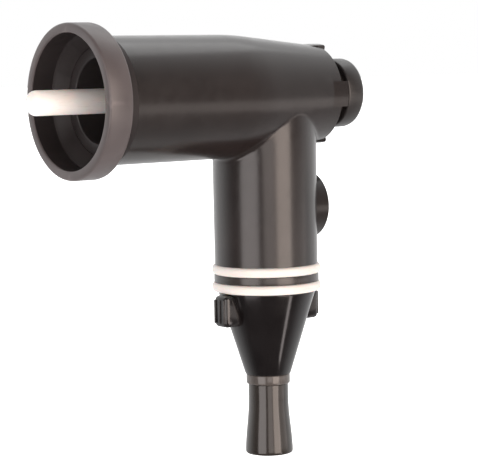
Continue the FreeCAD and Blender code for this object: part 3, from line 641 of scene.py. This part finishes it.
    def lay_floor(self, height: float) -> None:
        """Lays the pale floor.

        Args:
            height: Its height in the frame.
        """
        bpy.ops.mesh.primitive_plane_add(size=self.floor_size, location=(0, 0, height))
        floor = bpy.context.object
        floor.name = "floor"
        board = NodeBoard("pale_floor")
        board.link(board.spread(board.noise(3, 2), 0.5, 0.6), board.shader.inputs["Roughness"])
        board.fixed(base_color=(0.93, 0.93, 0.93), emission_color=(1.0, 1.0, 1.0), emission_strength=1.0)
        floor.data.materials.append(board.material)
        floor.visible_glossy = False
        floor.visible_shadow = False


# ---------------------------------------------------------------- the workshop


@dataclass(frozen=True)
class Ring:
    """One ring of a turned profile, in millimetres: its station, its radius and its edge's rounding."""

    along: float
    radius: float
    rounding: float = 0.0


def eased(start: Ring, end: Ring, count: int) -> list[Ring]:
    """Rings between two others, along a curve that leaves and arrives parallel to the axis.

    Args:
        start: The ring before them.
        end: The ring after them.
        count: How many rings there are between the two.

    Returns:
        The rings in order, without the two ends.
    """
    rings = []
    for index in range(1, count + 1):
        part = index / (count + 1)
        ease = part * part * (3 - 2 * part)
        rings.append(Ring(start.along + (end.along - start.along) * part,
                          start.radius + (end.radius - start.radius) * ease))
    return rings


def domed(along: float, radius: float, rounding: float, rise: float, count: int) -> list[Ring]:
    """Rings of a rounded nose, from its flat middle out to its full radius.

    Args:
        along: The station of the nose's tip.
        radius: The full radius.
        rounding: The radius of the nose's quarter round.
        rise: 1 where the station grows from tip to full radius, or -1.
        count: How many rings make the quarter round.

    Returns:
        The rings from the tip outwards.
    """
    rings = []
    for index in range(count + 1):
        turn = math.pi / 2 * index / count
        rings.append(Ring(along + rise * rounding * (1 - math.cos(turn)),
                          radius - rounding * (1 - math.sin(turn))))
    return rings


@dataclass(frozen=True)
class Lathe:
    """Turns pieces ring by ring: a circle is extruded, moved and resized, and its edges are bevelled."""

    axis: Axis
    segments: int = 144
    rounding_steps: int = 3

    @property
    def way(self) -> Vector:
        """The direction in which stations grow."""
        return Vector((0, 0, 1)) if self.axis is Axis.LEG else Vector((1, 0, 0))

    @property
    def origin(self) -> Vector:
        """The axis's point whose station is 0."""
        if self.axis is Axis.LEG:
            return Vector((leg_x(), 0, 0))
        return Vector((leg_x(), 0, button_z())) if self.axis is Axis.BUTTON else Vector((0, 0, 0))

    def at(self, along: float) -> Vector:
        """The point of the axis at a station in millimetres."""
        return self.origin + self.way * along * MM

    def turn(self, name: str, profile: Sequence[Ring]) -> bpy.types.Object:
        """Turns one piece.

        Args:
            name: The piece's name.
            profile: Its rings in order. A last radius of 0 closes the piece on its axis, with a flat cap
                at the first ring; otherwise the last ring is joined to the first.

        Returns:
            The piece.
        """
        first = profile[0]
        lean = (0, 0, 0) if self.axis is Axis.LEG else (0, math.pi / 2, 0)
        bpy.ops.object.select_all(action="DESELECT")
        bpy.ops.mesh.primitive_circle_add(vertices=self.segments, radius=first.radius * MM,
                                          location=self.at(first.along), rotation=lean)
        piece = bpy.context.object
        piece.name = piece.data.name = name
        bpy.ops.object.transform_apply(location=True, rotation=True, scale=True)
        bpy.ops.object.mode_set(mode="EDIT")
        bpy.ops.mesh.select_mode(type="EDGE")
        bpy.ops.mesh.select_all(action="SELECT")
        solid = profile[-1].radius == 0
        rings = list(profile) if solid else [*profile, first]
        for before, ring in zip(rings, rings[1:]):
            step = self.way * (ring.along - before.along) * MM
            bpy.ops.mesh.extrude_region_move(TRANSFORM_OT_translate={"value": step})
            if ring.radius:
                bpy.ops.transform.resize(value=(ring.radius / before.radius,) * 3,
                                         center_override=self.at(ring.along))
            else:
                bpy.ops.mesh.merge(type="CENTER")
        if solid:
            self.pick(piece, first)
            bpy.ops.mesh.extrude_region_move(TRANSFORM_OT_translate={"value": (0, 0, 0)})
            bpy.ops.mesh.merge(type="CENTER")
        bpy.ops.mesh.select_all(action="SELECT")
        bpy.ops.mesh.remove_doubles(threshold=1e-7)
        for ring in profile:
            if ring.rounding:
                self.pick(piece, ring)
                bpy.ops.mesh.bevel(offset=ring.rounding * MM, segments=self.rounding_steps,
                                   affect="EDGES")
        bpy.ops.mesh.select_all(action="SELECT")
        bpy.ops.mesh.normals_make_consistent(inside=False)
        bpy.ops.object.mode_set(mode="OBJECT")
        smooth(piece)
        return piece

    def pick(self, piece: bpy.types.Object, ring: Ring) -> None:
        """Selects the edges of one ring, in edit mode.

        Args:
            piece: The piece that is being turned.
            ring: The ring.
        """
        mesh = bmesh.from_edit_mesh(piece.data)
        clear_selection(mesh)
        for edge in mesh.edges:
            edge.select_set(all(self.on_ring(vertex.co, ring) for vertex in edge.verts))
        bmesh.update_edit_mesh(piece.data)

    def on_ring(self, point: Vector, ring: Ring) -> bool:
        """Whether a point lies on a ring.

        Args:
            point: The point.
            ring: The ring.

        Returns:
            True where its station and radius are the ring's.
        """
        offset = point - self.origin
        along = offset.dot(self.way)
        radius = (offset - self.way * along).length
        return abs(along - ring.along * MM) < NEAR and abs(radius - ring.radius * MM) < NEAR


def clear_selection(mesh: bmesh.types.BMesh) -> None:
    """Deselects everything in a mesh that is being edited.

    Args:
        mesh: The mesh.
    """
    for item in (*mesh.verts, *mesh.edges, *mesh.faces):
        item.select_set(False)


def smooth(piece: bpy.types.Object) -> None:
    """Shades a piece smooth, with its sharp edges kept.

    Args:
        piece: The piece.
    """
    bpy.ops.object.select_all(action="DESELECT")
    piece.select_set(True)
    bpy.context.view_layer.objects.active = piece
    bpy.ops.object.shade_smooth_by_angle(angle=SMOOTH_ANGLE)


class Paintshop:
    """Keeps one material for each finish, and puts it on pieces and CAD nodes."""

    def __init__(self) -> None:
        """Starts with no materials made."""
        self.made: dict[str, bpy.types.Material] = {}

    def material(self, finish: Finish) -> bpy.types.Material:
        """The material of a finish.

        Args:
            finish: The finish.

        Returns:
            Its material, made the first time that it is asked for.
        """
        if finish.name not in self.made:
            self.made[finish.name] = finish.material()
        return self.made[finish.name]

    def dress_node(self, node: str, finish: Finish) -> None:
        """Gives a CAD node its finish.

        Args:
            node: The node's name.
            finish: The finish.
        """
        for slot in frame["nodes"][node].material_slots:
            slot.material = self.material(finish)
        log.info("dressed %s in %s", node, finish.name)

    def fit(self, piece: bpy.types.Object, node: str, finish: Finish, *others: Finish) -> None:
        """Dresses a finished piece and puts it in its CAD node's place.

        Args:
            piece: The piece.
            node: The CAD node that it stands for.
            finish: Its finish.
            others: The finishes of the faces whose material index is 1 or more.
        """
        for layer in (finish, *others):
            piece.data.materials.append(self.material(layer))
        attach(piece, frame["nodes"][node]["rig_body"])
        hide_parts(node)
        log.info("made %s in %s, %d faces", piece.name, finish.name, len(piece.data.polygons))


# ---------------------------------------------------------------- the head's sub-assemblies


@dataclass
class HandleEnd:
    """The collar that locks on the handle, and the socket sleeve inside it."""

    collar_radius: float = 15.0
    collar_length: float = 5.2
    neck_radius: float = 12.45
    neck_end: float = 8.0
    hub_radius: float = 11.15
    hub_end: float = 13.0
    recess_radius: float = 13.1
    recess_depth: float = 4.7
    recess_lip: float = 0.35
    recess_margin: float = 0.02
    ledge_radius: float = 10.45
    ledge_depth: float = 7.0
    sleeve_radius: float = 10.4
    socket_radius: float = 8.2
    socket_floor: float = 24.0
    floor_back: float = 26.0
    floor_hole: float = 3.65
    skirt_radius: float = 9.6
    sleeve_end: float = 34.75
    hub_gap: float = 0.05
    lathe: Lathe = Lathe(Axis.BARREL)

    def build(self, shop: Paintshop) -> None:
        """Makes the collar and the sleeve.

        Args:
            shop: The paintshop.
        """
        shop.fit(self.collar(), "handle_collar", COLLAR, RECESS_PAINTED_SHADE)
        # The sleeve wears the darkened plastic, painted shade for its deep bore.
        shop.fit(self.sleeve(), "socket_sleeve", SOCKET_PAINTED_SHADE)

    def collar(self) -> bpy.types.Object:
        """Returns the turned collar: a rim round a stepped recess, a neck and a plain hub; the recess's
        faces take a darkened material that paints shade into the recess.
        """
        collar = self.lathe.turn("handle_collar_rim", (
            Ring(0, self.recess_radius, 0.3),
            Ring(0, self.collar_radius, 0.5),
            Ring(self.collar_length, self.collar_radius, 0.45),
            Ring(self.collar_length, self.neck_radius),
            Ring(self.neck_end, self.neck_radius),
            Ring(self.neck_end, self.hub_radius),
            Ring(self.hub_end, self.hub_radius),
            Ring(self.hub_end, self.ledge_radius),
            Ring(self.ledge_depth, self.ledge_radius, 0.12),
            Ring(self.recess_depth + 0.2, self.recess_radius - 0.5, 0.1),
            Ring(self.recess_depth, self.recess_radius, 0.08),
        ))
        # Faces in the recess take material 1, the darkened plastic that paints shade there.
        for face in collar.data.polygons:
            face.material_index = int(self.takes_recess_shade(face))
        return collar

    def takes_recess_shade(self, face: bpy.types.MeshPolygon) -> bool:
        """Whether a face of the collar belongs to its recess, which gets a darkened material as painted
        shade.

        Args:
            face: The face.

        Returns:
            True for the recess's wall, its ledge and the plain bore behind them.
        """
        around = math.hypot(face.center.y, face.center.z) / MM
        along = face.center.x / MM
        if around >= self.recess_radius + self.recess_margin or along <= self.recess_lip:
            return False
        return around < self.hub_radius or (along < self.ledge_depth and face.normal.x < 0.5)

    def sleeve(self) -> bpy.types.Object:
        """Returns the socket sleeve: a deep plain bore with a floor, and a skirt behind it."""
        return self.lathe.turn("handle_socket_sleeve", (
            Ring(self.ledge_depth, self.socket_radius, 0.3),
            Ring(self.ledge_depth, self.sleeve_radius, 0.12),
            Ring(self.hub_end + self.hub_gap, self.sleeve_radius),
            Ring(self.hub_end + self.hub_gap, self.hub_radius),
            Ring(self.sleeve_end, self.hub_radius),
            Ring(self.sleeve_end, self.skirt_radius),
            Ring(self.floor_back, self.skirt_radius),
            Ring(self.floor_back, self.floor_hole),
            Ring(self.socket_floor, self.floor_hole),
            Ring(self.socket_floor, self.socket_radius, 0.4),
        ))


@dataclass
class LightGuide:
    """The milky rod that carries the handle's light, with its buffed round tip."""

    tip: float = -8.5
    radius: float = 2.4
    nose: float = 1.7
    step: float = 12.0
    shaft_radius: float = 2.1
    groove_start: float = 27.6
    groove_end: float = 28.28
    groove_radius: float = 1.75
    end: float = 29.0

    def build(self, shop: Paintshop) -> None:
        """Makes the rod.

        Args:
            shop: The paintshop.
        """
        rod = Lathe(Axis.BARREL, segments=96).turn("light_guide_rod", (
            *domed(self.tip, self.radius, self.nose, 1, 10),
            Ring(self.step, self.radius, 0.1),
            Ring(self.step + 0.3, self.shaft_radius, 0.1),
            Ring(self.groove_start, self.shaft_radius),
            Ring(self.groove_start, self.groove_radius),
            Ring(self.groove_end, self.groove_radius),
            Ring(self.groove_end, self.shaft_radius),
            Ring(self.end, self.shaft_radius, 0.15),
            Ring(self.end, 0),
        ))
        shop.fit(rod, "light_guide", GUIDE)


@dataclass
class Eyepiece:
    """The focusing eyepiece: bezel, knob and window."""

    bezel_start: float = 56.6
    bezel_end: float = 59.0
    bezel_radius: float = 8.55
    bezel_hole: float = 6.65
    seal_groove: float = 0.8
    knob_start: float = 55.2
    flange_end: float = 56.5
    flange_radius: float = 8.3
    neck_radius: float = 6.55
    step: float = 59.3
    groove_end: float = 63.6
    groove_radius: float = 5.9
    knob_radius: float = 7.1
    knob_end: float = 68.0
    mouth_radius: float = 5.4
    eye_radius: float = 4.2
    eye_depth: float = 67.0
    window_front: float = 65.6
    window_back: float = 66.58
    window_radius: float = 5.35
    bore_radius: float = 5.45
    window_gap: float = 0.02
    lathe: Lathe = Lathe(Axis.BARREL)

    def build(self, shop: Paintshop) -> None:
        """Makes the bezel, the knob and the window.

        Args:
            shop: The paintshop.
        """
        shop.fit(self.bezel(), "eyepiece_bezel", HOUSING)
        shop.fit(self.knob(), "focus_knob", KNOB)
        shop.fit(self.window(), "eyepiece_window", WINDOW_GLASS)

    def bezel(self) -> bpy.types.Object:
        """Returns the ring that keeps the knob in the housing, with its seal's groove."""
        middle = (self.bezel_start + self.bezel_end) / 2
        half = self.seal_groove / 2
        return self.lathe.turn("eyepiece_bezel_ring", (
            Ring(self.bezel_start, self.bezel_hole),
            Ring(self.bezel_start, self.bezel_radius),
            Ring(self.bezel_end, self.bezel_radius, 0.1),
            Ring(self.bezel_end, self.bezel_hole, 0.2),
            Ring(middle + half, self.bezel_hole),
            Ring(middle + half, self.neck_radius + self.seal_groove),
            Ring(middle - half, self.neck_radius + self.seal_groove),
            Ring(middle - half, self.bezel_hole),
        ))

    def knob(self) -> bpy.types.Object:
        """Returns the focus knob: a flange inside, a plain round grip and a dished eye opening."""
        return self.lathe.turn("focus_knob_grip", (
            Ring(self.knob_start, self.bore_radius),
            Ring(self.knob_start, self.flange_radius, 0.1),
            Ring(self.flange_end, self.flange_radius, 0.1),
            Ring(self.flange_end, self.neck_radius),
            Ring(self.step, self.neck_radius),
            Ring(self.step, self.groove_radius),
            Ring(self.groove_end, self.groove_radius),
            Ring(self.groove_end, self.knob_radius, 0.35),
            Ring(self.knob_end, self.knob_radius, 1.0),
            Ring(self.knob_end, self.mouth_radius, 0.3),
            Ring(self.eye_depth, self.eye_radius, 0.15),
            Ring(self.window_back + self.window_gap, self.eye_radius),
            Ring(self.window_back + self.window_gap, self.bore_radius),
        ))

    def window(self) -> bpy.types.Object:
        """Returns the round glass window, its edges faintly chamfered."""
        return self.lathe.turn("eyepiece_window_glass", (
            Ring(self.window_front, self.window_radius, 0.12),
            Ring(self.window_back, self.window_radius, 0.12),
            Ring(self.window_back, 0),
        ))


@dataclass
class AirButton:
    """The rubber cap that covers the air port and is pressed by a fingertip."""

    reach: float = 11.9
    radius: float = 5.43
    skirt: float = 10.0
    skirt_bore: float = 4.2
    underside: float = 11.0
    groove_start: float = 10.3
    groove_end: float = 11.04
    groove_radius: float = 4.75
    dish_rim: float = 4.2
    dish_floor: float = 3.0
    dish_depth: float = 0.28
    stem_radius: float = 1.2
    stem_end: float = 5.9
    clip_start: float = 6.67
    clip_end: float = 7.17
    clip_radius: float = 0.9

    def build(self, shop: Paintshop) -> None:
        """Makes the cap with its stem.

        Args:
            shop: The paintshop.
        """
        cap = Lathe(Axis.BUTTON, segments=96).turn("air_button_cap", (
            Ring(self.stem_end, self.stem_radius, 0.2),
            Ring(self.clip_start, self.stem_radius),
            Ring(self.clip_start, self.clip_radius),
            Ring(self.clip_end, self.clip_radius),
            Ring(self.clip_end, self.stem_radius),
            Ring(self.underside, self.stem_radius),
            Ring(self.underside, self.skirt_bore),
            Ring(self.skirt, self.skirt_bore),
            Ring(self.skirt, self.radius, 0.1),
            Ring(self.groove_start, self.radius),
            Ring(self.groove_start, self.groove_radius),
            Ring(self.groove_end, self.groove_radius),
            Ring(self.groove_end, self.radius),
            Ring(self.reach, self.radius, 0.45),
            Ring(self.reach, self.dish_rim, 0.12),
            Ring(self.reach - self.dish_depth, self.dish_floor, 0.4),
            Ring(self.reach - self.dish_depth, 0),
        ))
        shop.fit(cap, "air_button", BUTTON)


@dataclass
class LegEnd:
    """The two white seals and the spacer between them."""

    upper_top: float = -34.22
    spacer_top: float = -36.16
    spacer_foot: float = -37.76
    lower_top: float = -37.77
    seal_height: float = 1.93
    seat_radius: float = 9.11
    seal_radius: float = 11.08
    seal_rounding: float = 0.55
    bulge: float = 0.1
    spacer_radius: float = 10.7
    lathe: Lathe = Lathe(Axis.LEG)

    def build(self, shop: Paintshop) -> None:
        """Makes the seals and the spacer.

        Args:
            shop: The paintshop.
        """
        for node, top in (("upper_seal", self.upper_top), ("lower_seal", self.lower_top)):
            shop.fit(self.seal(node + "_band", top), node, SEAL)
        spacer = self.lathe.turn("spacer_ring_band", (
            Ring(self.spacer_top, self.seat_radius + 0.01),
            Ring(self.spacer_top, self.spacer_radius, 0.15),
            Ring(self.spacer_foot, self.spacer_radius, 0.15),
            Ring(self.spacer_foot, self.seat_radius + 0.01),
        ))
        shop.fit(spacer, "spacer_ring", SPACER)

    def seal(self, name: str, top: float) -> bpy.types.Object:
        """One white seal: a stretched band whose outer face swells a little.

        Args:
            name: The piece's name.
            top: The station of its top.

        Returns:
            The seal.
        """
        foot = top - self.seal_height
        edge = self.seal_radius - self.bulge
        return self.lathe.turn(name, (
            Ring(top, self.seat_radius),
            Ring(top, edge, self.seal_rounding),
            Ring((top + foot) / 2, self.seal_radius, 0.2),
            Ring(foot, edge, self.seal_rounding),
            Ring(foot, self.seat_radius),
        ))


@dataclass
class Speculum:
    """The pull-off speculum: a cone with two ribbed finger lugs, a collar and a soft tip."""

    top: float = -39.85
    top_radius: float = 9.95
    wall: float = 1.2
    cone_end: float = -56.9
    cone_end_radius: float = 4.65
    neck_radius: float = 3.7
    neck_end: float = -66.0
    bore_radius: float = 3.0
    bore_end: float = -56.6
    lug_reach: float = 12.0
    lug_root: float = 9.2
    lug_lean: float = 1.9
    lug_width: float = 4.2
    lug_top: float = -40.0
    lug_end: float = -46.4
    lug_rounding: float = 0.9
    rib_height: float = 0.25
    rib_width: float = 0.55
    rib_spacing: float = 1.4
    rib_count: int = 3
    rib_margin: float = 0.8
    rib_root: float = 0.2
    rib_rounding: float = 0.12
    collar_radius: float = 4.5
    collar_top: float = -56.92
    collar_end: float = -58.9
    tip_radius: float = 4.1
    tip_top: float = -58.92
    flare_start: float = -62.0
    tip_end_radius: float = 4.9
    tip_end: float = -73.4
    mouth_radius: float = 3.6
    fit: float = 0.02
    shoulder: float = 0.05
    mouth_depth: float = 1.2
    lathe: Lathe = Lathe(Axis.LEG)

    def build(self, shop: Paintshop) -> None:
        """Makes the cone, the collar and the tip.

        Args:
            shop: The paintshop.
        """
        shop.fit(self.cone(), "speculum_cone", SPECULUM)
        shop.fit(self.collar(), "tip_collar", TIP_COLLAR)
        shop.fit(self.tip(), "soft_tip", SOFT_TIP)

    def cone(self) -> bpy.types.Object:
        """Returns the cone with its neck and its two lugs, as one moulding."""
        cone = self.lathe.turn("speculum_cone_moulding", (
            Ring(self.top, self.top_radius - self.wall),
            Ring(self.top, self.top_radius, 0.2),
            Ring(self.cone_end, self.cone_end_radius, 0.15),
            Ring(self.cone_end, self.neck_radius),
            Ring(self.neck_end, self.neck_radius, 0.15),
            Ring(self.neck_end, self.bore_radius, 0.15),
            Ring(self.bore_end, self.bore_radius),
        ))
        for side in (-1, 1):
            self.lug(side).select_set(True)
            cone.select_set(True)
            bpy.context.view_layer.objects.active = cone
            bpy.ops.object.join()
        smooth(cone)
        return cone

    def lug(self, side: int) -> bpy.types.Object:
        """One finger lug, a bevelled block whose outer face carries upright ribs.

        Args:
            side: 1 for the lug on the eyepiece's side, or -1.

        Returns:
            The lug, to be joined to the cone.
        """
        length = self.lug_top - self.lug_end
        middle = Vector((leg_x() + side * (self.lug_reach + self.lug_root) / 2 * MM, 0,
                         (self.lug_top + self.lug_end) / 2 * MM))
        size = (self.lug_reach - self.lug_root, self.lug_width, length)
        block = self.block("lug_block", middle, size, self.lug_rounding)
        self.lean_root(block, middle, side)
        rib_middle = leg_x() + side * (self.lug_reach + (self.rib_height - self.rib_root) / 2) * MM
        rib_size = (self.rib_height + self.rib_root, self.rib_width, length - 2 * self.rib_margin)
        for index in range(self.rib_count):
            across = (index - (self.rib_count - 1) / 2) * self.rib_spacing * MM
            self.block("lug_rib", Vector((rib_middle, across, middle.z)), rib_size, self.rib_rounding)
            block.select_set(True)
            bpy.context.view_layer.objects.active = block
            bpy.ops.object.join()
        return block

    def lean_root(self, block: bpy.types.Object, middle: Vector, side: int) -> None:
        """Moves the foot of a lug's inner face inwards, so that the lug follows the cone's wall.

        Args:
            block: The lug's block.
            middle: Its middle.
            side: 1 for the lug on the eyepiece's side, or -1.
        """
        bpy.ops.object.mode_set(mode="EDIT")
        mesh = bmesh.from_edit_mesh(block.data)
        clear_selection(mesh)
        for vertex in mesh.verts:
            offset = vertex.co - middle
            vertex.select_set(offset.z < 0 and side * offset.x < 0)
        mesh.select_flush(True)
        bmesh.update_edit_mesh(block.data)
        bpy.ops.transform.translate(value=(-side * self.lug_lean * MM, 0, 0))
        bpy.ops.object.mode_set(mode="OBJECT")

    @staticmethod
    def block(name: str, middle: Vector, size: Sequence[float], bevel: float) -> bpy.types.Object:
        """A block with rounded edges.

        Args:
            name: Its name.
            middle: Its middle, in metres.
            size: Its sides in millimetres.
            bevel: Its edges' rounding in millimetres.

        Returns:
            The block, selected alone.
        """
        bpy.ops.object.select_all(action="DESELECT")
        bpy.ops.mesh.primitive_cube_add(size=MM, location=middle, scale=size)
        block = bpy.context.object
        block.name = name
        bpy.ops.object.transform_apply(location=True, rotation=True, scale=True)
        bpy.ops.object.mode_set(mode="EDIT")
        bpy.ops.mesh.select_all(action="SELECT")
        bpy.ops.mesh.bevel(offset=bevel * MM, segments=3, affect="EDGES")
        bpy.ops.object.mode_set(mode="OBJECT")
        return block

    def collar(self) -> bpy.types.Object:
        """Returns the small collar that holds the soft tip."""
        return self.lathe.turn("tip_collar_band", (
            Ring(self.collar_top, self.neck_radius + self.fit),
            Ring(self.collar_top, self.collar_radius, 0.25),
            Ring(self.collar_end, self.collar_radius, 0.25),
            Ring(self.collar_end, self.neck_radius + self.fit),
        ))

    def tip(self) -> bpy.types.Object:
        """Returns the soft tip: a tube that flares smoothly to its rounded mouth."""
        start = Ring(self.flare_start, self.tip_radius)
        end = Ring(self.tip_end, self.tip_end_radius, 0.5)
        return self.lathe.turn("soft_tip_tube", (
            Ring(self.tip_top, self.neck_radius + self.fit),
            Ring(self.tip_top, self.tip_radius, 0.15),
            start,
            *eased(start, end, 12),
            end,
            Ring(self.tip_end, self.mouth_radius, 0.45),
            Ring(self.neck_end - self.mouth_depth, self.bore_radius, 0.2),
            Ring(self.neck_end - self.shoulder, self.bore_radius),
            Ring(self.neck_end - self.shoulder, self.neck_radius + self.fit),
        ))


# The housing and the pieces inside it are shown as the CAD has them, with these finishes.
CARRIED_NODES = {
    "housing": HOUSING,
    "guide_bush": BRASS,
    "guide_seal": BLACK_RUBBER,
    "bush_screws": SCREW_STEEL,
    "guide_spring": SPRING_STEEL,
    "mirror_mount": ALUMINIUM,
    "roof_mirror": MIRROR,
    "light_pipe": CLEAR_ACRYLIC,
    "focus_tube": ALUMINIUM,
    "focus_washer": PTFE,
    "knob_seal": BLACK_RUBBER,
    "button_seat": SOCKET_PAINTED_SHADE,
    "button_spring": SPRING_STEEL,
    "speculum_spigot": SPACER,
    "guide_clip": SPRING_STEEL,
    "lens_cell": ALUMINIUM,
    "eyepiece_lens": LENS_GLASS,
    "lens_ring": ALUMINIUM,
    "cam_pin": SPRING_STEEL,
    "button_seal": BLACK_RUBBER,
    "button_clip": SPRING_STEEL,
}


def main() -> None:
    """Builds the looks of the head and reports each piece."""
    logging.basicConfig(level=logging.INFO, format="%(name)s: %(message)s")
    Studio().build()
    shop = Paintshop()
    for node, finish in CARRIED_NODES.items():
        shop.dress_node(node, finish)
    for assembly in (HandleEnd(), LightGuide(), Eyepiece(), AirButton(), LegEnd(), Speculum()):
        assembly.build(shop)


if __name__ == "__main__":
    main()
